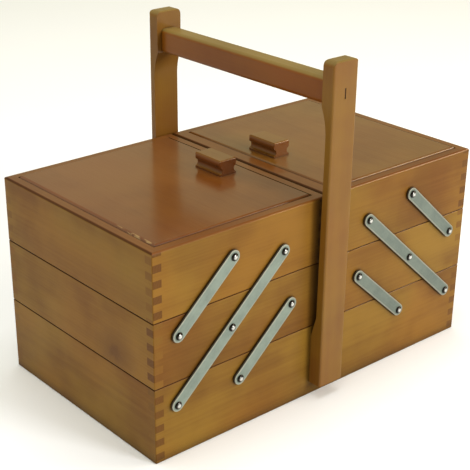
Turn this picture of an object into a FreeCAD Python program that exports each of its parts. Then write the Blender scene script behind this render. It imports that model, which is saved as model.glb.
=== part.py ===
import FreeCAD, Part
import math
import os

# Sewing box with two cantilever stacks of trays on one base box, under a fixed carrying handle.
# Millimetres, +Z up. The origin is at the bottom centre of the base. +X runs along the box, the
# front faces -Y. Each stack swings outwards on flat steel arms that keep its trays level.

os.makedirs("parts", exist_ok=True)
Vec = FreeCAD.Vector
NEAR = 0.01               # places closer together than this are one

# Boxes
BOX_LENGTH = 420.0
BOX_WIDTH = 240.0
BASE_HEIGHT = 78.0
MIDDLE_HEIGHT = 65.8
TOP_HEIGHT = 67.4
TIER_GAP = 0.6            # air between one tier's rim and the tray above
STACK_GAP = 1.6           # air between the left and the right stack
BOARD = 10.0
MEETING_BOARD = 15.0      # inner end of the right top tray, the wider rim between the two lids
FINGER = 7.5              # height of one finger in the corner joints
BASE_FIRST_FINGER = 3.0   # from a box's lower edge up to the first finger of its end boards
MIDDLE_FIRST_FINGER = 0.0
TOP_FIRST_FINGER = 3.4
LEAST_FINGER = 1.0        # nothing thinner than this is left at a rim
PANEL = 4.0               # plywood bottoms of the trays
BASE_PANEL = 5.0
RABBET = 4.0              # depth of the step in the boards that takes a bottom panel
CORNER_ROUND = 1.2
TOP_RIM_ROUND = 2.5
LOWER_RIM_ROUND = 1.0
BOTTOM_ROUND = 0.6
ROUND_STEP = 0.2          # a rim crosses an upright corner with a round this much smaller, at most

# Dividers, one across each tray
DIVIDER = 4.0
DIVIDER_GROOVE = 3.0
MIDDLE_DIVIDER_DROP = 8.0     # from the middle tray's rim down to its divider
TOP_DIVIDER_DROP = 12.0

# Arms and their pivots: every tray moves on a parallelogram with this pitch between pivots
PIVOT_RUN = 64.2              # horizontal distance between two pivots of a closed arm
PIVOT_RISE = 58.3             # vertical distance between the same two
LONG_PIVOT = (186.0, 55.6)    # base pivot of the long arm, as distance from the middle and height
LOWER_PIVOT = (111.0, 55.6)   # base pivot of the lower short arm
UPPER_PIVOT = (184.0, 126.2)  # middle-tray pivot of the upper short arm
ARM_WIDTH = 13.0
ARM_THICKNESS = 2.0
ARM_EDGE_ROUND = 0.5          # on the edges of the outer face
ARM_PLAY = 0.15               # each side of an arm, between the collar and the head
PIVOT_CLEARANCE = 0.05        # radial, between the shoulder and the arm's hole

# Pivot screws
SHANK_RADIUS = 1.6
SHANK_LENGTH = 8.0
COLLAR_RADIUS = 4.3
COLLAR_HEIGHT = 1.2
SHOULDER_RADIUS = 2.1
HEAD_RADIUS = 3.8
HEAD_SKIRT = 0.5
HEAD_HEIGHT = 2.3

# Lids
LID = 9.0
LID_PROUD = 1.2               # lid's top above the tray's rim
LID_SIDE_GAP = 1.2
LID_OUTER_GAP = 0.8
LID_INNER_GAP = {"left": 2.0, "right": 0.9}
LID_EDGE_ROUND = 2.0
LID_HINGE_ROUND = 3.5         # larger, so that the edge clears the end board while it turns
LID_PLAN_ROUND = 2.0
PIN_RADIUS = 1.5
PIN_INSET = 6.0               # pin axis from the lid's outer edge
PIN_IN_BOARD = 6.0
PIN_IN_LID = 5.0
PIN_END_PLAY = 0.5
REST_WIDTH = 8.0
REST_HALF_LENGTH = 100.0
REST_PLAY = 0.2

# Knobs
KNOB_LENGTH = 38.5
KNOB_HEIGHT = 16.0
KNOB_TOP_EDGE = 9.3           # half width of the flat top, between the rolls
KNOB_ROLL = (11.0, 12.2)      # half width and height where the rolled lip is widest
KNOB_NECK = (7.9, 7.6)        # the same where the roll meets the cove
KNOB_WAIST = (7.3, 6.0)       # the same at the narrowest
KNOB_FOOT = (10.3, 1.6)       # the same at the foot's upper edge
KNOB_CORNER_ROUND = 1.6
KNOB_END_ROUND = 1.6
KNOB_FROM_MIDDLE = 38.5
KNOB_SETBACK = {"left": -0.5, "right": 5.0}    # towards the back; the two are not quite level
KNOB_TENON_RADIUS = 4.0
KNOB_TENON = 6.0

# Handle
POST_WIDTH = 31.0
POST_DEPTH = 15.5             # full depth where the post is fixed to the base
POST_BOTTOM = 14.5
POST_TOP = 346.5
POST_RAMP = (66.0, 89.0)      # heights where the inner relief starts and where it leaves the box
POST_LOW_RELIEF = 6.6         # inner face's distance from the box at the ramp's top
POST_HIGH_RELIEF = 8.0        # and at the cove, as the post thins upwards
POST_COVE_START = 274.0       # height where the relief turns back towards the bar
POST_HEAD_INSET = 1.5         # inner face's distance from the box at the bar
POST_EDGE_ROUND = 2.0
POST_TOP_ROUND = 6.0
POST_TOP_CHAMFER = 1.2
BAR_WIDTH = 20.0
BAR_BOTTOM = 303.0
BAR_TOP = 328.0
BAR_ROUND = 4.0
TENON_WIDTH = 12.0
TENON_HEIGHT = 16.0
TENON_LENGTH = 10.0
WEDGE_THICKNESS = 1.6
WEDGE_HEIGHT = 10.0
WEDGE_DEPTH = 6.0             # how far the wedge goes into the tenon
WEDGE_RECESS = 0.4            # its end below the post's outer face
POST_SCREW_HEIGHTS = (26.0, 46.0)
POST_SCREW_RADIUS = 2.0
POST_SCREW_HEAD = 4.0
POST_SCREW_SINK = 2.4
POST_SCREW_GRIP = 10.0        # length of a screw inside the post

HALF_LENGTH = BOX_LENGTH / 2
HALF_WIDTH = BOX_WIDTH / 2
INNER_HALF_WIDTH = HALF_WIDTH - BOARD
MIDDLE_FLOOR = BASE_HEIGHT + TIER_GAP
MIDDLE_RIM = MIDDLE_FLOOR + MIDDLE_HEIGHT
TOP_FLOOR = MIDDLE_RIM + TIER_GAP
TOP_RIM = TOP_FLOOR + TOP_HEIGHT
LID_TOP = TOP_RIM + LID_PROUD
LID_BOTTOM = LID_TOP - LID

INNER_BOARD = {"left": BOARD, "right": MEETING_BOARD}     # inner ends of the top trays

SIDES = {"left": -1, "right": 1}     # sign of x
FACES = {"front": -1, "back": 1}     # sign of y


def save(name, solids):
    """Write one node: a single solid, or a group of separate ones."""
    shape = solids[0] if len(solids) == 1 else Part.makeCompound(solids)
    assert all(solid.isValid() and len(solid.Solids) == 1 for solid in solids), name
    shape.exportStep(os.path.join("parts", name + ".step"))


def block(x0, x1, y0, y1, z0, z1):
    """Box between two corners given in any order along each axis."""
    low = Vec(min(x0, x1), min(y0, y1), min(z0, z1))
    return Part.makeBox(abs(x1 - x0), abs(y1 - y0), abs(z1 - z0), low)


def edges_along(shape, axis):
    """Straight edges of a box that run along one axis."""
    return [edge for edge in shape.Edges if abs(edge.tangentAt(edge.FirstParameter).dot(axis)) > 1 - NEAR]


def only_solid(shape):
    """The one solid that a boolean result holds."""
    solids = shape.Solids
    assert len(solids) == 1, len(solids)
    return solids[0]


def cut_all(shape, tools):
    """Take every tool away from the shape."""
    for tool in tools:
        shape = shape.cut(tool)
    return only_solid(shape)


# Finger-jointed boxes

class Box:
    """One finger-jointed box: its outer faces, its boards and what is cut out of them."""

    def __init__(self, name, x0, x1, z0, z1, panel, first_finger, rim_round, x0_board=BOARD, x1_board=BOARD):
        self.name, self.x0, self.x1, self.z0, self.z1 = name, x0, x1, z0, z1
        self.panel, self.first_finger, self.rim_round = panel, first_finger, rim_round
        self.x0_board, self.x1_board = x0_board, x1_board

    def envelope(self):
        """The outer shape, with eased edges, that trims every board."""
        shape = block(self.x0, self.x1, -HALF_WIDTH, HALF_WIDTH, self.z0, self.z1)
        shape = shape.makeFillet(CORNER_ROUND, edges_along(shape, Vec(0, 0, 1)))
        rim = [e for e in shape.Edges if min(v.Z for v in e.Vertexes) > self.z1 - NEAR]
        shape = shape.makeFillet(min(self.rim_round, CORNER_ROUND - ROUND_STEP), rim)
        if self.rim_round > CORNER_ROUND:
            shape = shape.common(self.rounded_rim())
        floor = [e for e in shape.Edges if max(v.Z for v in e.Vertexes) < self.z0 + NEAR]
        return shape.makeFillet(BOTTOM_ROUND, floor)

    def rounded_rim(self):
        """Two crossed prisms that round the rim more than the upright corners allow."""
        along = block(self.x0, self.x1, -HALF_WIDTH, HALF_WIDTH, self.z0, self.z1)
        rims = [e for e in edges_along(along, Vec(1, 0, 0)) if e.Vertexes[0].Z > self.z1 - NEAR]
        across = [e for e in edges_along(along, Vec(0, 1, 0)) if e.Vertexes[0].Z > self.z1 - NEAR]
        return along.makeFillet(self.rim_round, rims).common(along.makeFillet(self.rim_round, across))

    def end_fingers(self):
        """Heights between which the end boards reach through the front and back boards."""
        fingers = []
        low = self.z0 + self.first_finger
        while low < self.z1 - LEAST_FINGER:
            fingers.append((low, min(low + FINGER, self.z1)))
            low += 2 * FINGER
        return fingers

    def long_fingers(self):
        """The heights in between, where the front and back boards reach the corner."""
        fingers = []
        low = self.z0
        for finger_low, finger_high in self.end_fingers():
            if finger_low > low:
                fingers.append((low, finger_low))
            low = finger_high
        if low < self.z1:
            fingers.append((low, self.z1))
        return fingers

    def panel_block(self):
        """The bottom panel, which lies in a stopped rabbet flush with the boards' lower edges."""
        x0, x1 = self.x0 + self.x0_board - RABBET, self.x1 - self.x1_board + RABBET
        reach = INNER_HALF_WIDTH + RABBET
        return block(x0, x1, -reach, reach, self.z0, self.z0 + self.panel)

    def corner(self, at_x0, face, low, high):
        """The part of one corner between two heights."""
        x0, x1 = (self.x0, self.x0 + self.x0_board) if at_x0 else (self.x1 - self.x1_board, self.x1)
        return block(x0, x1, face * HALF_WIDTH, face * INNER_HALF_WIDTH, low, high)

    def long_board(self, face, cuts=()):
        """Front or back board."""
        board = block(self.x0, self.x1, face * HALF_WIDTH, face * INNER_HALF_WIDTH, self.z0, self.z1)
        fingers = [self.corner(at_x0, face, *z) for z in self.end_fingers() for at_x0 in (True, False)]
        return cut_all(board.common(self.envelope()), fingers + [self.panel_block()] + list(cuts))

    def end_board(self, at_x0, cuts=()):
        """End board at the low-x end or at the high-x end."""
        x0, x1 = (self.x0, self.x0 + self.x0_board) if at_x0 else (self.x1 - self.x1_board, self.x1)
        board = block(x0, x1, -HALF_WIDTH, HALF_WIDTH, self.z0, self.z1)
        fingers = [self.corner(at_x0, face, *z) for z in self.long_fingers() for face in FACES.values()]
        return cut_all(board.common(self.envelope()), fingers + [self.panel_block()] + list(cuts))

    def divider(self, drop):
        """Thin board across the middle of the tray, held in grooves in the long boards."""
        middle = (self.x0 + self.x0_board + self.x1 - self.x1_board) / 2
        reach = INNER_HALF_WIDTH + DIVIDER_GROOVE
        x0, x1 = middle - DIVIDER / 2, middle + DIVIDER / 2
        return block(x0, x1, -reach, reach, self.z0 + self.panel, self.z1 - drop)


def base_box():
    return Box("base", -HALF_LENGTH, HALF_LENGTH, 0.0, BASE_HEIGHT, BASE_PANEL, BASE_FIRST_FINGER,
               LOWER_RIM_ROUND)


def tray_box(side, tier):
    """Middle or top tray of one stack, closed."""
    inner, outer = SIDES[side] * STACK_GAP / 2, SIDES[side] * HALF_LENGTH
    x0, x1 = min(inner, outer), max(inner, outer)
    name = side + "_" + tier + "_tray"
    if tier == "middle":
        return Box(name, x0, x1, MIDDLE_FLOOR, MIDDLE_RIM, PANEL, MIDDLE_FIRST_FINGER, LOWER_RIM_ROUND)
    boards = {"left": (BOARD, INNER_BOARD["left"]), "right": (INNER_BOARD["right"], BOARD)}
    return Box(name, x0, x1, TOP_FLOOR, TOP_RIM, PANEL, TOP_FIRST_FINGER, TOP_RIM_ROUND, *boards[side])


# Arms and pivot screws

def along_arm(pivot, steps):
    """Pivot position, as distance from the middle and height, some pitches up a closed arm."""
    return pivot[0] - steps * PIVOT_RUN, pivot[1] + steps * PIVOT_RISE


def facing(shape, side, face, place):
    """Turn a shape made along +Z to point out of the front or back, and move it to its pivot."""
    shape.rotate(Vec(0, 0, 0), Vec(1, 0, 0), -90 * face)
    shape.translate(Vec(side * place[0], face * HALF_WIDTH, place[1]))
    return shape


def pivot_screw():
    """Screw with a thread in the board, a collar, a shoulder for the arm and a dome head."""
    shoulder_top = COLLAR_HEIGHT + ARM_THICKNESS + 2 * ARM_PLAY
    skirt_top = shoulder_top + HEAD_SKIRT
    head_top = shoulder_top + HEAD_HEIGHT
    stages = [(SHANK_RADIUS, -SHANK_LENGTH, 0), (COLLAR_RADIUS, 0, COLLAR_HEIGHT),
              (SHOULDER_RADIUS, COLLAR_HEIGHT, shoulder_top), (HEAD_RADIUS, shoulder_top, head_top)]
    dome = head_top - skirt_top
    ball_radius = (HEAD_RADIUS ** 2 + dome ** 2) / (2 * dome)
    ball = Part.makeSphere(ball_radius, Vec(0, 0, head_top - ball_radius))
    parts = [Part.makeCylinder(radius, high - low, Vec(0, 0, low)) for radius, low, high in stages]
    return only_solid(parts[0].multiFuse(parts[1:3] + [parts[3].common(ball)]))


def screws_at(side, places):
    """Front and back screws at each pivot of one stack."""
    return [facing(pivot_screw(), SIDES[side], face, place) for place in places for face in FACES.values()]


def base_pivots():
    return [LONG_PIVOT, LOWER_PIVOT]


def tray_pivots(tier):
    if tier == "middle":
        return [along_arm(LONG_PIVOT, 1), along_arm(LOWER_PIVOT, 1), UPPER_PIVOT]
    return [along_arm(LONG_PIVOT, 2), along_arm(UPPER_PIVOT, 1)]


def arm(side, face, pivot, steps):
    """Flat strip with round ends and one hole per pivot, closed position."""
    run, rise = side * -PIVOT_RUN, PIVOT_RISE
    pitch = math.hypot(run, rise)
    along = Vec(run / pitch, 0, rise / pitch) * (ARM_WIDTH / 2)
    across = Vec(-along.z, 0, along.x)
    inner_y = face * (HALF_WIDTH + COLLAR_HEIGHT + ARM_PLAY)
    centres = [Vec(side * x, inner_y, z) for x, z in (along_arm(pivot, step) for step in range(steps + 1))]
    low, high = centres[0], centres[-1]
    outline = [Part.LineSegment(low + across, high + across),
               Part.Arc(high + across, high + along, high - across),
               Part.LineSegment(high - across, low - across),
               Part.Arc(low - across, low - along, low + across)]
    through = Vec(0, face, 0)
    flat = Part.Face(Part.Wire([edge.toShape() for edge in outline]))
    strip = flat.extrude(through * ARM_THICKNESS)
    outer_y = abs(inner_y) + ARM_THICKNESS
    outer = [e for e in strip.Edges if min(abs(v.Y) for v in e.Vertexes) > outer_y - NEAR]
    strip = strip.makeFillet(ARM_EDGE_ROUND, outer)
    radius = SHOULDER_RADIUS + PIVOT_CLEARANCE
    holes = [Part.makeCylinder(radius, 3 * ARM_THICKNESS, centre - through * ARM_THICKNESS, through)
             for centre in centres]
    return cut_all(strip, holes)


# Lids

def lid_extent(side):
    """Distances of the lid's inner and outer edges from the middle."""
    return STACK_GAP / 2 + INNER_BOARD[side] + LID_INNER_GAP[side], HALF_LENGTH - BOARD - LID_OUTER_GAP


def pin_x():
    return HALF_LENGTH - BOARD - LID_OUTER_GAP - PIN_INSET


def pin_z():
    return (LID_TOP + LID_BOTTOM) / 2


def pin_cylinder(side, face, radius, low, high):
    """Cylinder on the hinge axis between two distances from the box's middle plane."""
    start = Vec(SIDES[side] * pin_x(), face * low, pin_z())
    return Part.makeCylinder(radius, high - low, start, Vec(0, face, 0))


def hinge_pins(side):
    """Blind pins, tight in the long boards and running in the lid's ends."""
    lid_side = INNER_HALF_WIDTH - LID_SIDE_GAP
    return [pin_cylinder(side, face, PIN_RADIUS, lid_side - PIN_IN_LID, INNER_HALF_WIDTH + PIN_IN_BOARD)
            for face in FACES.values()]


def lid_panel(side):
    """Flat panel with eased edges, rounder at the hinge, drilled for its pins and its knob."""
    inner, outer = lid_extent(side)
    sign, reach = SIDES[side], INNER_HALF_WIDTH - LID_SIDE_GAP
    blank = block(sign * inner, sign * outer, -reach, reach, LID_BOTTOM, LID_TOP)
    top = [e for e in blank.Edges if min(v.Z for v in e.Vertexes) > LID_TOP - NEAR]
    long_edges = [e for e in top if abs(e.Vertexes[0].Y - e.Vertexes[1].Y) < NEAR]
    hinge_edge = [e for e in top if all(abs(v.X) > outer - NEAR for v in e.Vertexes)]
    inner_edge = [e for e in top if all(abs(v.X) < inner + NEAR for v in e.Vertexes)]
    shaped = blank.makeFillet(LID_EDGE_ROUND, long_edges)
    shaped = shaped.common(blank.makeFillet(LID_HINGE_ROUND, hinge_edge))
    shaped = shaped.common(blank.makeFillet(LID_EDGE_ROUND, inner_edge))
    shaped = shaped.common(blank.makeFillet(LID_PLAN_ROUND, edges_along(blank, Vec(0, 0, 1))))
    bore_end = reach - PIN_IN_LID - PIN_END_PLAY
    bores = [pin_cylinder(side, face, PIN_RADIUS + PIVOT_CLEARANCE, bore_end, HALF_WIDTH)
             for face in FACES.values()]
    return cut_all(shaped, bores + [knob_tenon(side)])


def knob_place(side):
    """Middle of the knob's foot, on the lid."""
    return Vec(SIDES[side] * KNOB_FROM_MIDDLE, KNOB_SETBACK[side], LID_TOP)


def knob_tenon(side):
    """Round tenon under the knob, glued into the lid."""
    return Part.makeCylinder(KNOB_TENON_RADIUS, KNOB_TENON, knob_place(side) - Vec(0, 0, KNOB_TENON))


def knob_profile():
    """Cross-section of a knob: a foot, coved sides and a rolled lip under a flat top."""
    edges = []
    for sign in SIDES.values():
        foot = Vec(sign * KNOB_FOOT[0], 0, 0)
        foot_edge, waist, neck, roll = (Vec(sign * x, 0, z)
                                        for x, z in (KNOB_FOOT, KNOB_WAIST, KNOB_NECK, KNOB_ROLL))
        top_edge = Vec(sign * KNOB_TOP_EDGE, 0, KNOB_HEIGHT)
        edges.append(Part.LineSegment(foot, foot_edge))
        edges.append(Part.Arc(foot_edge, waist, neck))
        edges.append(Part.Arc(neck, roll, top_edge))
    edges.append(Part.LineSegment(Vec(-KNOB_TOP_EDGE, 0, KNOB_HEIGHT), Vec(KNOB_TOP_EDGE, 0, KNOB_HEIGHT)))
    edges.append(Part.LineSegment(Vec(-KNOB_FOOT[0], 0, 0), Vec(KNOB_FOOT[0], 0, 0)))
    return Part.Face(Part.Wire(Part.sortEdges([edge.toShape() for edge in edges])[0]))


def knob(side):
    """Bar knob: the profile run front to back, rounded at its ends, with its tenon."""
    half_length = KNOB_LENGTH / 2
    profile = knob_profile()
    profile.translate(Vec(0, -half_length, 0))
    blank = block(-KNOB_ROLL[0], KNOB_ROLL[0], -half_length, half_length, 0, KNOB_HEIGHT)
    plan = blank.makeFillet(KNOB_CORNER_ROUND, edges_along(blank, Vec(0, 0, 1)))
    top_ends = [edge for edge in edges_along(blank, Vec(1, 0, 0)) if edge.Vertexes[0].Z > KNOB_NECK[1]]
    body = profile.extrude(Vec(0, KNOB_LENGTH, 0)).common(plan)
    body = body.common(blank.makeFillet(KNOB_END_ROUND, top_ends))
    body.translate(knob_place(side))
    return only_solid(body.fuse(knob_tenon(side)).removeSplitter())


def lid_rest(side):
    """Strip inside the top tray's inner end, which the closed lid lies on."""
    inner_face = STACK_GAP / 2 + INNER_BOARD[side]
    sign, top = SIDES[side], LID_BOTTOM - REST_PLAY
    return block(sign * inner_face, sign * (inner_face + REST_WIDTH), -REST_HALF_LENGTH, REST_HALF_LENGTH,
                 top - REST_WIDTH, top)


# Handle

def post_outline(face):
    """Side view of a post: thick at the foot, relieved past the trays, coved out again to the bar."""
    def at(depth, height):
        return Vec(0, face * (HALF_WIDTH + depth), height)

    rise = BAR_BOTTOM - POST_COVE_START
    drop = POST_HIGH_RELIEF - POST_HEAD_INSET
    radius = (rise ** 2 + drop ** 2) / (2 * drop)
    half_turn = math.asin(rise / radius) / 2
    cove_middle = at(POST_HIGH_RELIEF - radius * (1 - math.cos(half_turn)),
                     POST_COVE_START + radius * math.sin(half_turn))
    chamfer = POST_TOP_CHAMFER
    line = [at(POST_HEAD_INSET, BAR_BOTTOM), at(POST_HEAD_INSET, POST_TOP - chamfer),
            at(POST_HEAD_INSET + chamfer, POST_TOP), at(POST_DEPTH - chamfer, POST_TOP),
            at(POST_DEPTH, POST_TOP - chamfer), at(POST_DEPTH, POST_BOTTOM), at(0, POST_BOTTOM),
            at(0, POST_RAMP[0]), at(POST_LOW_RELIEF, POST_RAMP[1]), at(POST_HIGH_RELIEF, POST_COVE_START)]
    edges = [Part.LineSegment(a, b).toShape() for a, b in zip(line, line[1:])]
    edges.append(Part.Arc(line[-1], cove_middle, line[0]).toShape())
    return Part.Face(Part.Wire(edges))


def post(face, cuts):
    """Handle post with round outer edges and a round-shouldered top."""
    half = POST_WIDTH / 2
    profile = post_outline(face)
    profile.translate(Vec(-half, 0, 0))
    body = profile.extrude(Vec(POST_WIDTH, 0, 0))
    front = face * (HALF_WIDTH + POST_DEPTH)
    blank = block(-half, half, face * HALF_WIDTH, front, POST_BOTTOM, POST_TOP)
    outer = [e for e in edges_along(blank, Vec(0, 0, 1)) if abs(e.Vertexes[0].Y - front) < NEAR]
    shoulders = [e for e in edges_along(blank, Vec(0, 1, 0)) if e.Vertexes[0].Z > BAR_TOP]
    body = body.common(blank.makeFillet(POST_EDGE_ROUND, outer))
    body = body.common(blank.makeFillet(POST_TOP_ROUND, shoulders))
    return cut_all(body, cuts)


def tenon(face):
    """Blind tenon on the end of the bar."""
    start = HALF_WIDTH + POST_HEAD_INSET
    middle = (BAR_BOTTOM + BAR_TOP) / 2
    return block(-TENON_WIDTH / 2, TENON_WIDTH / 2, face * start, face * (start + TENON_LENGTH),
                 middle - TENON_HEIGHT / 2, middle + TENON_HEIGHT / 2)


def wedge(face):
    """Thin upright wedge driven through the post's outer skin into the tenon."""
    return wedge_block(face, HALF_WIDTH + POST_DEPTH - WEDGE_RECESS)


def wedge_slot(face):
    """The wedge's slot, open at the post's outer face."""
    return wedge_block(face, HALF_WIDTH + POST_DEPTH + WEDGE_RECESS)


def wedge_block(face, end):
    """Block as thick and high as the wedge, from inside the tenon out to this distance."""
    start = HALF_WIDTH + POST_HEAD_INSET + TENON_LENGTH - WEDGE_DEPTH
    half, middle = WEDGE_THICKNESS / 2, (BAR_BOTTOM + BAR_TOP) / 2
    return block(-half, half, face * start, face * end, middle - WEDGE_HEIGHT / 2, middle + WEDGE_HEIGHT / 2)


def handle_bar():
    """Bar with eased edges and a tenon at each end, each tenon slit for its wedge."""
    reach = HALF_WIDTH + POST_HEAD_INSET
    bar = block(-BAR_WIDTH / 2, BAR_WIDTH / 2, -reach, reach, BAR_BOTTOM, BAR_TOP)
    bar = bar.makeFillet(BAR_ROUND, edges_along(bar, Vec(0, 1, 0)))
    for face in FACES.values():
        bar = bar.fuse(tenon(face))
    return cut_all(bar.removeSplitter(), [wedge(face) for face in FACES.values()])


def post_screw(face, height):
    """Countersunk screw from inside the base, through its board into the post."""
    sink, head, shank = POST_SCREW_SINK, POST_SCREW_HEAD, POST_SCREW_RADIUS
    inside = Vec(0, face * INNER_HALF_WIDTH, height)
    outward = Vec(0, face, 0)
    cone = Part.makeCone(head, shank, sink, inside, outward)
    rod = Part.makeCylinder(shank, BOARD + POST_SCREW_GRIP - sink, inside + outward * sink, outward)
    return only_solid(cone.fuse(rod).removeSplitter())


def post_screws(face):
    return [post_screw(face, height) for height in POST_SCREW_HEIGHTS]


# Nodes

def save_box(box, pivot_shanks, divider_drop=None, long_cuts=()):
    """All boards of one box, with its long boards cut for screws, pins and the divider."""
    cuts = list(pivot_shanks) + list(long_cuts)
    if divider_drop is not None:
        cuts.append(box.divider(divider_drop))
        save(box.name + "_divider", [box.divider(divider_drop)])
    for face_name, face in FACES.items():
        save(box.name + "_" + face_name, [box.long_board(face, cuts)])
    save(box.name + "_bottom", [box.panel_block()])


def save_base():
    box = base_box()
    screws = screws_at("left", base_pivots()) + screws_at("right", base_pivots())
    into_posts = post_screws(-1) + post_screws(1)
    save_box(box, screws, long_cuts=into_posts)
    save("base_left_end", [box.end_board(True)])
    save("base_right_end", [box.end_board(False)])
    save("base_pivot_screws", screws)
    save("handle_post_screws", into_posts)


def save_handle():
    for face_name, face in FACES.items():
        cuts = [tenon(face), wedge_slot(face)] + post_screws(face)
        save("handle_" + face_name + "_post", [post(face, cuts)])
    save("handle_bar", [handle_bar()])
    save("handle_wedges", [wedge(face) for face in FACES.values()])


def save_tray(side, tier):
    box = tray_box(side, tier)
    screws = screws_at(side, tray_pivots(tier))
    if tier == "middle":
        save_box(box, screws, MIDDLE_DIVIDER_DROP)
    else:
        save_box(box, screws, TOP_DIVIDER_DROP, long_cuts=hinge_pins(side))
        save(box.name + "_lid_rest", [lid_rest(side)])
        save(box.name + "_hinge_pins", hinge_pins(side))
    outer_at_x0 = SIDES[side] < 0
    save(box.name + "_outer_end", [box.end_board(outer_at_x0)])
    save(box.name + "_inner_end", [box.end_board(not outer_at_x0)])
    save(box.name + "_pivot_screws", screws)


def save_arms(side):
    arms = {"long_arm": (LONG_PIVOT, 2), "lower_arm": (LOWER_PIVOT, 1), "upper_arm": (UPPER_PIVOT, 1)}
    for name, (pivot, steps) in arms.items():
        for face_name, face in FACES.items():
            save(side + "_" + name + "_" + face_name, [arm(SIDES[side], face, pivot, steps)])


def main():
    save_base()
    save_handle()
    for side in SIDES:
        save_tray(side, "middle")
        save_tray(side, "top")
        save(side + "_lid_panel", [lid_panel(side)])
        save(side + "_lid_knob", [knob(side)])
        save_arms(side)


main()
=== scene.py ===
"""Looks of the cantilever sewing box: varnished wood, plated steel arms, soft studio light."""

import math
from collections import namedtuple

import bpy
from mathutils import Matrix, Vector


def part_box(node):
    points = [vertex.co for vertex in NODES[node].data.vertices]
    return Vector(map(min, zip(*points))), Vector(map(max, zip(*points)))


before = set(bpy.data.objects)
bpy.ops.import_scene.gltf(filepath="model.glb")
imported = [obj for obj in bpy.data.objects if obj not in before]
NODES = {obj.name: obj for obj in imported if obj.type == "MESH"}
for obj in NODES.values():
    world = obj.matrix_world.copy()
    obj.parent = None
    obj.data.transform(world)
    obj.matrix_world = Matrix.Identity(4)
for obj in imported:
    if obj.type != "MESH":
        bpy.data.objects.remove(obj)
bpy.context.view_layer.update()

# Tones of wood as linear RGB: the light grain, the dark grain and the end grain
HONEY = dict(light=(0.225, 0.120, 0.015), dark=(0.130, 0.055, 0.008), end=(0.100, 0.036, 0.006))
LID = dict(light=(0.160, 0.054, 0.007), dark=(0.118, 0.035, 0.005), end=(0.085, 0.026, 0.005))
LID_GREENER = dict(light=(0.172, 0.070, 0.007), dark=(0.130, 0.046, 0.005), end=(0.085, 0.030, 0.005))
KNOB = dict(light=(0.165, 0.056, 0.008), dark=(0.112, 0.033, 0.005), end=(0.085, 0.026, 0.005))
HANDLE = dict(light=(0.200, 0.104, 0.012), dark=(0.150, 0.062, 0.010), end=(0.120, 0.046, 0.008))
BAR = dict(light=(0.205, 0.068, 0.005), dark=(0.150, 0.043, 0.005), end=(0.110, 0.034, 0.006))
WORN = dict(light=(0.215, 0.138, 0.036), dark=(0.160, 0.098, 0.024), end=(0.115, 0.060, 0.014))
PLYWOOD = dict(light=(0.44, 0.28, 0.13), dark=(0.33, 0.19, 0.08), end=(0.18, 0.09, 0.035))
WEDGE = dict(light=(0.06, 0.026, 0.008), dark=(0.035, 0.014, 0.005), end=(0.025, 0.010, 0.004))
BARE = (0.42, 0.27, 0.10)             # where the varnish is gone
REDDER = (1.0, 0.87, 0.85)            # what the stain's redder patches keep of the colour
EDGE_LINE_KEPT = 0.5                  # how much of the rim's end tone the dark line at its edge keeps
DUST_AND_SHADE_KEPT = 0.18                      # how much of the end tone is left under dust and painted shade

# Noise: features per metre, detail and roughness, and how many seeds it is moved by
Noise = namedtuple("Noise", "scale detail roughness shift")
DRIFT = Noise(16.0, 2.0, 0.5, 3)
FIBRES = Noise(900.0, 4.0, 0.65, 0)
STREAKS = Noise(130.0, 3.0, 0.55, 5)
PORES = Noise(1700.0, 2.0, 0.5, 1)
PATCHES = Noise(9.0, 3.0, 0.55, 2)
CLOUDS = Noise(38.0, 3.0, 0.6, 6)
BANDS = Noise(30.0, 2.0, 0.5, 4)
TINT = Noise(7.0, 2.0, 0.5, 8)
SPECKLE = Noise(900.0, 2.0, 0.6, 0)
KNOT_WOBBLE = Noise(90.0, 3.0, 0.6, 0)
RUBBED = Noise(420.0, 3.0, 0.6, 0)
BRUSHED = Noise(1500.0, 3.0, 0.6, 0)
ZINC_CLOUDS = Noise(55.0, 4.0, 0.6, 2)
SPANGLE = Noise(420.0, 2.0, 0.5, 0)
SPOTS = Noise(900.0, 3.0, 0.6, 0)
FLOOR_SPECK = Noise(3.0, 3.0, 0.5, 0)
NOISE_MIDDLE = 0.5                    # what all of it varies around

# Each piece's own place in the noise, worked out from its name
SEED_START = 7
SEED_TURNS = (1.0, 1.7, 2.3)
SEED_SHIFT = 0.7                      # how far the seed moves a board through the noise
SEED_SHADE = 0.06                     # how much the seed darkens or lightens a board
START_SHADE = -0.05

# Grain of the wood, in metres
RING_PITCH = 0.0034                   # distance between two growth rings
RING_LIMITS = (-0.6, 1.0)             # of the sine wave across the rings
PITH_DISTANCE = 0.055                 # from a board's middle to the heart of its tree
RING_DRIFT = 0.030                    # how far slow noise bends the rings
STRETCH = 0.035                       # how much slower everything changes along the grain

# Marks that darken the wood: the limits of their noise and how much they weigh
STREAK_MARK = (0.30, 0.72, 0.12)
FIBRE_MARK = (0.25, 0.75, 0.08)
PATCH_MARK = (0.34, 0.68, 0.46)
CLOUD_MARK = (0.32, 0.70, 0.07)
BAND_MARK = (0.35, 0.68, 0.22)
TINT_LIMITS = (0.38, 0.64)
PORE_LIMITS = (0.66, 0.78)
PORES_SEEN = 0.25
SPECKLE_MARK = (0.45, 0.7, 0.35)
END_RINGS_SEEN = 0.35

# How squarely a face looks along the grain, sideways or up, where one look turns into another
END_FACING = (0.45, 0.85)
SIDEWAYS_FACING = (0.20, 0.40)
POLISHED_FACING = (0.2, 0.6)
STAINED_FACING = (0.25, 0.75)
LINE_FACING = (0.25, 0.45)

# Dust and painted shade in corners, and painted shadow in hollows: reach in metres, the light that still
# gets in, and how dark it is
CORNER_SAMPLES = 6
CORNER = dict(reach=0.0035, limits=(0.80, 0.25))
CORNER_DUST_AND_SHADE = 0.80
# painted shadow in hollows, such as the strip on the boards beside the front post
HOLLOW_SHADOW = dict(reach=0.016, limits=(0.82, 0.50))

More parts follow.
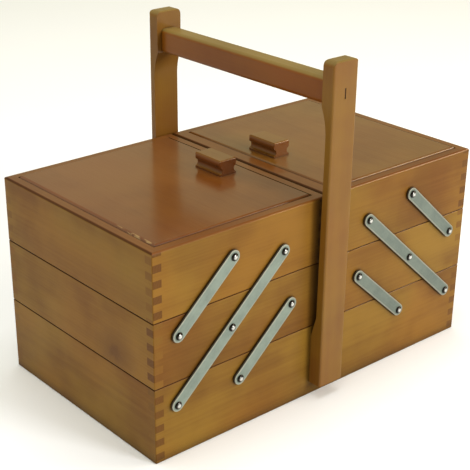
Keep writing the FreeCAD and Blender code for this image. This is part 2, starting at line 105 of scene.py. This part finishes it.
# Surface of the wood; bumps are a strength and a height in metres
POLISH_LIMITS = (0.3, 0.7)
POLISH_SPREAD = (-0.06, 0.08)         # of the roughness
POLISH_SHARES = (0.5, 0.5)            # of the fibres and of the patches
HEIGHT_SHARES = (0.5, 0.2)            # of the fibres and of the rings
FIBRE_BUMP = (0.15, 0.0002)
BAND_BUMP = (0.20, 0.0006)
VARNISH_ROUGHNESS = 0.17
WOOD_SPECULAR = 0.10

# The one knot, from the middle of its board, with reaches in metres and how strongly it shows
KNOT_BOARD = "left_middle_tray_outer_end"
KNOT = Vector((-0.005, -0.0605, -0.019))
KNOT_SHAPE = (0.0, 0.75, 1.0)         # no depth, and longer along the grain
KNOT_BEND = 0.012
KNOT_HALO = (0.034, 0.004, 0.75)
KNOT_HEART = (0.010, 0.003, 0.60)

# The left lid's worn hinge edge
WORN_REACH = (0.0788, 0.0338)         # metres from the lid's front edge to where the wear starts and is full
WORN_ALONG = (1.0, 0.22, 1.0)         # its streaks are longer along the edge
WORN_LIMITS = (0.50, 0.62)            # of the streaks' noise
WORN_UP = (0.30, 0.70)                # how squarely the worn part of the rounding faces up
WORN_NOT_FLAT = (0.995, 0.93)         # and where it goes over into the flat top
WORN_OUTWARDS = (0.1, 0.3)            # how squarely it faces away from the middle
WORN_SEEN = 0.60

# How dark end grain has gone in each tier, on the long boards and on the end boards
END_GRAIN_SEEN = {"base": (0.35, 0.75), "middle": (0.85, 0.30), "top": (0.45, 0.90)}
END_GRAIN_AT_BACK = 0.30

# Boards darker (above zero) or lighter than the rest
BOARD_SHADE = {"left_middle_tray_front": 0.18, "right_top_tray_front": 0.12, "left_top_tray_front": -0.08,
               "base_left_end": 0.06}

# Finish of each kind of wooden part, where it differs from what wood() takes for granted
BOARD_LOOK = dict(rim=LID, edge_line=0.75)
LID_LOOK = dict(coat=0.9, roughness=0.35, rings_seen=0.04, hollow_shadow=0.2)
KNOB_LOOK = dict(coat=0.3, roughness=0.35, end_seen=0.2, rim=LID_GREENER, rim_coat=0.9, hollow_shadow=0.0)
HANDLE_LOOK = dict(coat=0.25, rim=WORN, rim_coat=0.3, hollow_shadow=0.0)
WEDGE_LOOK = dict(coat=0.1, roughness=0.5)
PLYWOOD_LOOK = dict(coat=0.05, roughness=0.5)

# Parts whose grain runs from front to back
GRAIN_ALONG_Y = ("_end", "bar", "rest", "knob", "lid_panel", "divider", "wedges")

# Zinc plating of the arms: tones, then the limits and strengths of its marks
ZINC = (0.200, 0.246, 0.205)
ZINC_DULL = (0.156, 0.195, 0.166)
ZINC_BRIGHT = (0.26, 0.31, 0.26)
ZINC_EDGE_BARE_AND_HIGHLIGHT = (0.50, 0.46, 0.36)
ZINC_DIRT_AND_SHADE = (0.03, 0.03, 0.027)
ARM_PAINTED_SHADE = {"left": 1.0, "right": 0.68}     # painted shade: share of brightness each side's arms are painted with, the right ones darker as the light falls on them
ARM_SLOPE = {"left": 42.2, "right": -42.2}   # degrees
BRUSHED_ALONG = (0.03, 1, 1)
DULL_LIMITS = (0.35, 0.68)
BRUSH_MARK = (0.4, 0.75, 0.30)
MARGIN = dict(reach=0.0018, samples=8)
MARGIN_MARK = (0.97, 0.80, 0.30)
ROUNDED_MARK = (0.97, 0.70, 0.75)
# painted shade: the arms' side faces are darkened nearly to black
SIDE_SHADE_MARK = (0.45, 0.20, 0.9)
# dirt and painted shade in creases, such as round the screw heads
CREASE_REACH = 0.0022
CREASE_MARK = (0.9, 0.35, 0.85)
ZINC_ROUGHNESS = (0.7, 1.3, 0.44, 0.60)
ZINC_BUMP = (0.15, 0.0001)
ZINC_METALLIC = 0.35

# Nickel of the screws, with the limits and strengths of its marks
NICKEL = (0.62, 0.62, 0.58)
NICKEL_PAINTED_DARK_RIM = (0.020, 0.018, 0.015)
NICKEL_MOTTLE = 0.10
NICKEL_TOP = (0.84, 0.985)
NICKEL_ROUGHNESS = (0.3, 0.7, 0.14, 0.26)

# Camera, in metres from the middle of the box's foot, and in millimetres for the sensor and the lens
CAMERA_AT = Vector((-0.7479, -0.8378, 0.6206))
CAMERA_DOWN = math.radians(24.98)
CAMERA_TURN = math.radians(39.76)
SENSOR = 36.0
LENS = 89.5
SHIFT = (0.0622, 0.0619)
FARTHEST = 100.0

# Soft boxes: name, direction, distance, width, height, radiance and colour
WHITE = (1.0, 1.0, 1.0)
SOFT_BOXES = (("key", (0.26, -0.90, 0.34), 2.6, 0.7, 0.7, 25.0, WHITE),
              ("side", (0.74, -0.53, 0.42), 2.6, 1.1, 0.45, 16.0, (1.0, 0.84, 0.62)),
              ("top", (0.0, 0.05, 1.0), 2.4, 1.8, 1.8, 3.8, WHITE),
              ("back", (0.62, 0.70, 0.36), 3.2, 2.6, 2.6, 0.30, (1.0, 0.98, 0.50)))
LIGHTS_LOOK_AT = Vector((0.0, 0.0, 0.15))

# Surroundings, with the floor in metres
ROOM_BRIGHTNESS = (0.12, 0.85)        # on the dim side and on the bright side
ROOM_BRIGHT_SIDE = Vector((-0.95, 0.05, 0.30))
ROOM_LIMITS = (-0.7, 0.9)             # how squarely one looks at the bright side
ROOM_COLOUR = (1.0, 0.97, 0.76)
FLOOR_SIZE = 40.0
FLOOR_AT = (0, 0, -0.0003)            # just under the box, so that the two don't flicker
FLOOR_TONES = ((0.91, 0.92, 0.97), (0.94, 0.95, 0.98))
FLOOR_ROUGHNESS = 0.9


class Tree:
    """Short names for building a material's nodes."""

    def __init__(self, name):
        self.material = bpy.data.materials.new(name)
        self.material.use_nodes = True
        self.tree = self.material.node_tree
        self.tree.nodes.clear()
        self.output = self.tree.nodes.new("ShaderNodeOutputMaterial")
        coords = self.tree.nodes.new("ShaderNodeTexCoord")
        self.point = coords.outputs["Object"]
        self.normal = coords.outputs["Normal"]

    def add(self, kind, inputs=None, **settings):
        """One node, with attributes from settings and sockets filled by value or by link."""
        node = self.tree.nodes.new("ShaderNode" + kind)
        for name, value in settings.items():
            setattr(node, name, value)
        for socket, value in (inputs or {}).items():
            if isinstance(value, bpy.types.NodeSocket):
                self.tree.links.new(value, node.inputs[socket])
            else:
                node.inputs[socket].default_value = value
        return node

    def math(self, operation, a, b=0.0):
        """One step of arithmetic."""
        return self.add("Math", {0: a, 1: b}, operation=operation).outputs[0]

    def noise(self, vector, kind, seed=None):
        """Grey noise around one half, moved on by the seed."""
        if kind.shift:
            vector = self.mapped(vector, location=seed * kind.shift)
        inputs = {"Vector": vector, "Scale": kind.scale, "Detail": kind.detail, "Roughness": kind.roughness}
        return self.add("TexNoise", inputs).outputs["Fac"]

    def ramp(self, value, low, high, to_low=0.0, to_high=1.0):
        """Smooth step of a value between two limits."""
        inputs = {"Value": value, "From Min": low, "From Max": high, "To Min": to_low, "To Max": to_high}
        return self.add("MapRange", inputs, interpolation_type="SMOOTHSTEP").outputs["Result"]

    def mark(self, value, low, high, weight):
        """Smooth step of a value between two limits, up to a weight."""
        return self.math("MULTIPLY", self.ramp(value, low, high), weight)

    def blend(self, a, b, shares):
        """Sum of a share of each of two values."""
        return self.math("ADD", *(self.math("MULTIPLY", *pair) for pair in zip((a, b), shares)))

    def mix(self, share, a, b, blend="MIX"):
        """Mix of two colours."""
        node = self.add("Mix", {"Factor": share}, data_type="RGBA", blend_type=blend)
        for socket, value in (("A", a), ("B", b)):
            target = next(s for s in node.inputs if s.name == socket and s.type == "RGBA")
            if isinstance(value, bpy.types.NodeSocket):
                self.tree.links.new(value, target)
            else:
                target.default_value = (*value, 1.0)
        return next(s for s in node.outputs if s.type == "RGBA")

    def mapped(self, vector, scale=(1, 1, 1), location=(0, 0, 0), rotation=(0, 0, 0)):
        """The vector moved, turned and scaled."""
        inputs = {"Vector": vector, "Location": location, "Rotation": rotation, "Scale": scale}
        return self.add("Mapping", inputs).outputs["Vector"]

    def length(self, vector):
        return self.add("VectorMath", {0: vector}, operation="LENGTH").outputs["Value"]

    def facing(self, direction):
        """How squarely the surface faces a direction of the part's own frame."""
        inputs = {0: self.normal, 1: Vector(direction)}
        return self.add("VectorMath", inputs, operation="DOT_PRODUCT").outputs["Value"]

    def openness(self, reach, samples=CORNER_SAMPLES, inside=False):
        """How little there is within reach of the surface, outside it or inside it."""
        settings = dict(samples=samples, inside=inside)
        return self.add("AmbientOcclusion", {"Distance": reach}, **settings).outputs["AO"]

    def bump(self, height, strength, distance, below=None):
        """Bumps of this height, on top of those below."""
        inputs = {"Strength": strength, "Distance": distance, "Height": height}
        if below is not None:
            inputs["Normal"] = below
        return self.add("Bump", inputs).outputs["Normal"]

    def finish(self, **inputs):
        """Principled surface with these inputs."""
        names = {key.replace("_", " "): value for key, value in inputs.items()}
        shader = self.add("BsdfPrincipled", names)
        self.tree.links.new(shader.outputs[0], self.output.inputs["Surface"])
        return self.material


def seeded(name):
    """A steady offset and shade for each piece, worked out from its name."""
    total = sum((place + SEED_START) * ord(letter) for place, letter in enumerate(name))
    return Vector([math.sin(turn * total) for turn in SEED_TURNS])


def by_axis(axis, along, across):
    """One value along the grain's axis and another across it."""
    return [along if place == axis else across for place in range(3)]


def scaled(colour, share):
    return tuple(share * channel for channel in colour)


def growth_rings(t, slow, axis, middle, seed):
    """Growth rings round a pith off to one side, bent by slow noise."""
    drift = t.noise(slow, DRIFT, seed)
    pith = seed.copy()
    pith[axis] = 0.0
    pith = pith.normalized() * PITH_DISTANCE
    centred = t.mapped(t.point, location=pith - middle)
    radius = t.length(t.mapped(centred, scale=by_axis(axis, 0.0, 1.0)))
    bent = t.math("ADD", radius, t.math("MULTIPLY", drift, RING_DRIFT))
    phase = t.math("MULTIPLY", bent, 2 * math.pi / RING_PITCH)
    return t.ramp(t.math("SINE", phase), *RING_LIMITS)


def end_grain(t, place, rings, tone):
    """End grain soaks up more stain and shows its rings as arcs."""
    soaked = t.mix(t.math("MULTIPLY", rings, END_RINGS_SEEN), tone["end"], tone["dark"])
    return t.mix(t.mark(t.noise(place, SPECKLE), *SPECKLE_MARK), soaked, tone["dark"])


def knotted(t, colour, tone, knot):
    """A small knot, dark at its heart, with the grain darker round it."""
    apart = t.mapped(t.point, location=-knot)
    wobble = t.math("SUBTRACT", t.noise(apart, KNOT_WOBBLE), NOISE_MIDDLE)
    distance = t.length(t.mapped(apart, scale=KNOT_SHAPE))
    bent = t.math("ADD", distance, t.math("MULTIPLY", wobble, KNOT_BEND))
    colour = t.mix(t.mark(bent, *KNOT_HALO), colour, tone["dark"])
    return t.mix(t.mark(bent, *KNOT_HEART), colour, tone["end"])


def rubbed(t, colour, up, start, end):
    """Pale streaks where an upper edge has been rubbed bare, from one place along the row frame's y on."""
    along = t.add("SeparateXYZ", {"Vector": t.point}).outputs["Y"]
    streaks = t.noise(t.mapped(t.point, scale=WORN_ALONG), RUBBED)
    bare = t.math("MULTIPLY", t.ramp(streaks, *WORN_LIMITS), t.ramp(along, start, end))
    edge = t.math("MULTIPLY", t.ramp(up, *WORN_UP), t.ramp(up, *WORN_NOT_FLAT))
    edge = t.math("MULTIPLY", edge, t.ramp(t.facing((-1.0, 0.0, 0.0)), *WORN_OUTWARDS))
    return t.mix(t.math("MULTIPLY", t.math("MULTIPLY", bare, edge), WORN_SEEN), colour, BARE)


def rimmed(t, colour, up, darkness, rim, edge_line, coat, rim_coat):
    """Upper faces and rims in their own tone, with a dark line on the rounding where an edge turns from side
    to top.
    """
    sideways = t.ramp(t.math("ABSOLUTE", t.facing((1.0, 0.0, 0.0))), *SIDEWAYS_FACING)
    polished = t.math("MULTIPLY", t.ramp(up, *POLISHED_FACING), t.math("SUBTRACT", 1.0, sideways))
    coat = t.ramp(polished, 0.0, 1.0, coat, rim_coat)
    stained = t.mix(t.ramp(darkness, 0.0, 1.0), rim["light"], rim["dark"])
    colour = t.mix(t.ramp(up, *STAINED_FACING), colour, stained)
    # a dark line on the part of the rounding that faces sideways and partly up
    line = t.math("MULTIPLY", t.ramp(up, *LINE_FACING), sideways)
    colour = t.mix(t.math("MULTIPLY", line, edge_line), colour, scaled(rim["end"], EDGE_LINE_KEPT))
    return colour, coat


def dust_and_painted_shade(t, colour, tone, hollow_shadow):
    """Dust and thick varnish in corners and gaps, mixed with painted shade there, and a painted shadow in
    hollows.
    """
    # painted shade in corners and between parts, such as the dark lines between tiers, mixed with dust
    corner_dust_and_shade = t.mark(t.openness(CORNER["reach"]), *CORNER["limits"], CORNER_DUST_AND_SHADE)
    # painted shadow where a wide hollow blocks the light, such as beside the front post
    shadow = t.mark(t.openness(HOLLOW_SHADOW["reach"]), *HOLLOW_SHADOW["limits"], hollow_shadow)
    return t.mix(t.math("MAXIMUM", corner_dust_and_shade, shadow), colour, scaled(tone["end"], DUST_AND_SHADE_KEPT))


def wood(name, axis, tone, middle, coat=0.04, roughness=0.42, shade=0.0, rings_seen=0.06, end_seen=0.5,
         rim=None, rim_coat=0.6, edge_line=0.0, hollow_shadow=0.70, knot=None, worn=None):
    """Varnished wood whose grain runs along one axis (0, 1 or 2) of the row frame."""
    t = Tree(name)
    seed = seeded(name)
    # Moved to the board's middle and on by the seed, so that no two boards are cut alike
    place = t.mapped(t.point, location=-(middle + seed * SEED_SHIFT))
    slow = t.mapped(place, scale=by_axis(axis, STRETCH, 1.0))
    rings = growth_rings(t, slow, axis, middle, seed)

    # Fibres and the blotches that stain leaves in soft wood
    fibres = t.noise(slow, FIBRES)
    patches = t.noise(place, PATCHES, seed)
    bands = t.noise(slow, BANDS, seed)
    marks = (t.math("MULTIPLY", rings, rings_seen), t.mark(t.noise(slow, STREAKS, seed), *STREAK_MARK),
             t.mark(fibres, *FIBRE_MARK), t.mark(patches, *PATCH_MARK),
             t.mark(t.noise(place, CLOUDS, seed), *CLOUD_MARK), t.mark(bands, *BAND_MARK))
    darkness = shade + SEED_SHADE * seed.x + START_SHADE
    for mark in marks:
        darkness = t.math("ADD", mark, darkness)

    pores = t.ramp(t.noise(slow, PORES, seed), *PORE_LIMITS)
    colour = t.mix(t.ramp(darkness, 0.0, 1.0), tone["light"], tone["dark"])
    colour = t.mix(t.ramp(t.noise(place, TINT, seed), *TINT_LIMITS), colour, REDDER, "MULTIPLY")
    colour = t.mix(t.math("MULTIPLY", pores, PORES_SEEN), colour, tone["end"])
    if knot is not None:
        colour = knotted(t, colour, tone, knot)
    is_end = t.ramp(t.math("ABSOLUTE", t.facing(by_axis(axis, 1.0, 0.0))), *END_FACING)
    colour = t.mix(t.math("MULTIPLY", is_end, end_seen), colour, end_grain(t, place, rings, tone))

    up = t.facing((0.0, 0.0, 1.0))
    if rim is not None:
        colour, coat = rimmed(t, colour, up, darkness, rim, edge_line, coat, rim_coat)
    if worn is not None:
        colour = rubbed(t, colour, up, *worn)
    # dust and painted shade in corners, painted shadow in hollows
    colour = dust_and_painted_shade(t, colour, tone, hollow_shadow)

    polish = t.blend(fibres, patches, POLISH_SHARES)
    rough = t.ramp(polish, *POLISH_LIMITS, *(roughness + spread for spread in POLISH_SPREAD))
    height = t.math("SUBTRACT", t.blend(fibres, rings, HEIGHT_SHARES), pores)
    waves = t.bump(bands, *BAND_BUMP, below=t.bump(height, *FIBRE_BUMP))
    return t.finish(Base_Color=colour, Roughness=rough, Normal=waves, Coat_Weight=coat,
                    Coat_Roughness=VARNISH_ROUGHNESS, Specular_IOR_Level=WOOD_SPECULAR)


def zinc(name, slope, painted_shade_share):
    """Dull zinc plating, brushed along an arm that slopes this many degrees, with bare metal and a painted
    highlight at its edges, painted shade on its sides and in creases, and a painted shade that differs from
    side to side.
    """
    t = Tree(name)
    seed = seeded(name)
    turned = t.mapped(t.point, rotation=(0, math.radians(slope), 0), location=seed)
    brushed = t.noise(t.mapped(turned, scale=BRUSHED_ALONG), BRUSHED)
    clouds = t.noise(turned, ZINC_CLOUDS, seed)
    spangle = t.noise(turned, SPANGLE)
    colour = t.mix(t.ramp(clouds, *DULL_LIMITS), ZINC, ZINC_DULL)
    colour = t.mix(t.mark(brushed, *BRUSH_MARK), colour, ZINC_BRIGHT)
    # painted shade: the arms of one side are painted darker than those of the other
    colour = t.mix(1.0, colour, scaled(WHITE, painted_shade_share), "MULTIPLY")
    flat = t.math("ABSOLUTE", t.facing((0.0, 1.0, 0.0)))
    margin = t.mark(t.openness(inside=True, **MARGIN), *MARGIN_MARK)
    # bare metal and a painted highlight along the rounded edges and the margin of the face
    edge = t.math("MAXIMUM", t.mark(flat, *ROUNDED_MARK), margin)
    colour = t.mix(edge, colour, ZINC_EDGE_BARE_AND_HIGHLIGHT)
    # painted shade on the arms' side faces
    colour = t.mix(t.mark(flat, *SIDE_SHADE_MARK), colour, ZINC_DIRT_AND_SHADE)
    # dirt and painted shade in creases, such as round the screw heads
    colour = t.mix(t.mark(t.openness(CREASE_REACH), *CREASE_MARK), colour, ZINC_DIRT_AND_SHADE)
    rough = t.ramp(t.math("ADD", brushed, spangle), *ZINC_ROUGHNESS)
    return t.finish(Base_Color=colour, Roughness=rough, Normal=t.bump(brushed, *ZINC_BUMP),
                    Metallic=ZINC_METALLIC)


def nickel(name):
    """Nickel screws whose domes are painted dark towards the rim, as a painted reflection of dark
    surroundings and shade.
    """
    t = Tree(name)
    spots = t.noise(t.point, SPOTS)
    mottled = t.math("MULTIPLY", t.math("SUBTRACT", spots, NOISE_MIDDLE), NICKEL_MOTTLE)
    top = t.math("ADD", t.math("ABSOLUTE", t.facing((0.0, 1.0, 0.0))), mottled)
    # painted reflection and shade: the dome goes dark where it turns away from the front
    colour = t.mix(t.ramp(top, *NICKEL_TOP), NICKEL_PAINTED_DARK_RIM, NICKEL)
    return t.finish(Base_Color=colour, Roughness=t.ramp(spots, *NICKEL_ROUGHNESS), Metallic=1.0)


def grain_axis(node):
    """Axis that a wooden node's grain runs along, from its name."""
    if "post" in node:
        return 2
    return 1 if any(word in node for word in GRAIN_ALONG_Y) else 0


def middle_of(node):
    low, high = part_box(node)
    return (low + high) / 2


def worn_stretch(node):
    """Places along the row frame's y where the wear of a lid's hinge edge starts and is full."""
    low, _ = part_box(node)
    return [low.y + reach for reach in WORN_REACH]


def end_grain_seen(node):
    """How dark the end grain has gone: it differs from tier to tier and between the two kinds of board."""
    if node.endswith("_back"):
        return END_GRAIN_AT_BACK
    tier = next((tier for tier in ("middle", "top") if tier in node), "base")
    on_long_board, on_end_board = END_GRAIN_SEEN[tier]
    return on_long_board if node.endswith("_front") else on_end_board


def material_for(node):
    """The right material for each CAD node."""
    side = node.split("_")[0]
    if "arm_" in node:
        return zinc(node + "_zinc", ARM_SLOPE[side], ARM_PAINTED_SHADE[side])
    if "screws" in node or "pins" in node:
        return nickel(node + "_nickel")
    axis, middle, name = grain_axis(node), middle_of(node), node + "_wood"
    if "knob" in node:
        return wood(name, axis, KNOB, middle, **KNOB_LOOK)
    if "lid_panel" in node and side == "left":
        return wood(name, axis, LID, middle, worn=worn_stretch(node), **LID_LOOK)
    if "lid_panel" in node:
        return wood(name, axis, LID_GREENER, middle, **LID_LOOK)
    if "wedges" in node:
        return wood(name, axis, WEDGE, middle, **WEDGE_LOOK)
    if "bottom" in node or "divider" in node:
        return wood(name, axis, PLYWOOD, middle, **PLYWOOD_LOOK)
    if "handle" in node:
        return wood(name, axis, BAR if "bar" in node else HANDLE, middle, **HANDLE_LOOK)
    knot = middle + KNOT if node == KNOT_BOARD else None
    return wood(name, axis, HONEY, middle, shade=BOARD_SHADE.get(node, 0.0), end_seen=end_grain_seen(node),
                knot=knot, **BOARD_LOOK)


def dress():
    """Give every CAD node its own material."""
    for name, node in NODES.items():
        node.data.materials.clear()
        node.data.materials.append(material_for(name))


def area_light(name, direction, distance, width, height, radiance, colour):
    """Soft box that looks at the box's middle from a direction."""
    lamp = bpy.data.lights.new(name, "AREA")
    lamp.shape = "RECTANGLE"
    lamp.size = width
    lamp.size_y = height
    lamp.color = colour
    lamp.energy = radiance * math.pi * width * height
    holder = bpy.data.objects.new(name, lamp)
    bpy.context.scene.collection.objects.link(holder)
    away = Vector(direction).normalized()
    holder.location = LIGHTS_LOOK_AT + away * distance
    holder.rotation_euler = away.to_track_quat("Z", "Y").to_euler()


def room():
    """Surroundings that are brightest on one side."""
    world = bpy.data.worlds.new("room")
    world.use_nodes = True
    nodes, links = world.node_tree.nodes, world.node_tree.links
    background = nodes["Background"]
    background.inputs["Color"].default_value = (*ROOM_COLOUR, 1.0)
    coords = nodes.new("ShaderNodeTexCoord")
    towards = nodes.new("ShaderNodeVectorMath")
    towards.operation = "DOT_PRODUCT"
    towards.inputs[1].default_value = ROOM_BRIGHT_SIDE.normalized()
    strength = nodes.new("ShaderNodeMapRange")
    strength.interpolation_type = "SMOOTHSTEP"
    limits = (*ROOM_LIMITS, *ROOM_BRIGHTNESS)
    for name, value in zip(("From Min", "From Max", "To Min", "To Max"), limits):
        strength.inputs[name].default_value = value
    links.new(coords.outputs["Generated"], towards.inputs[0])
    links.new(towards.outputs["Value"], strength.inputs["Value"])
    links.new(strength.outputs["Result"], background.inputs["Strength"])
    return world


def lay_floor():
    """Plain pale floor."""
    bpy.ops.mesh.primitive_plane_add(size=FLOOR_SIZE, location=FLOOR_AT)
    floor = bpy.context.object
    floor.name = "floor"
    t = Tree("pale_floor")
    colour = t.mix(t.noise(t.point, FLOOR_SPECK), *FLOOR_TONES)
    floor.data.materials.append(t.finish(Base_Color=colour, Roughness=FLOOR_ROUGHNESS))


def studio():
    """Dim room, pale floor and soft boxes."""
    scene = bpy.context.scene
    scene.view_settings.view_transform = "Standard"
    scene.world = room()
    for soft_box in SOFT_BOXES:
        area_light(*soft_box)
    lay_floor()


def camera():
    """The photograph's viewing angle."""
    data = bpy.data.cameras.new("camera")
    data.sensor_width = SENSOR
    data.lens = LENS
    data.shift_x, data.shift_y = SHIFT
    data.clip_end = FARTHEST
    holder = bpy.data.objects.new("camera", data)
    bpy.context.scene.collection.objects.link(holder)
    holder.location = CAMERA_AT
    holder.rotation_euler = (math.pi / 2 - CAMERA_DOWN, 0.0, -CAMERA_TURN)
    bpy.context.scene.camera = holder


dress()
studio()
camera()
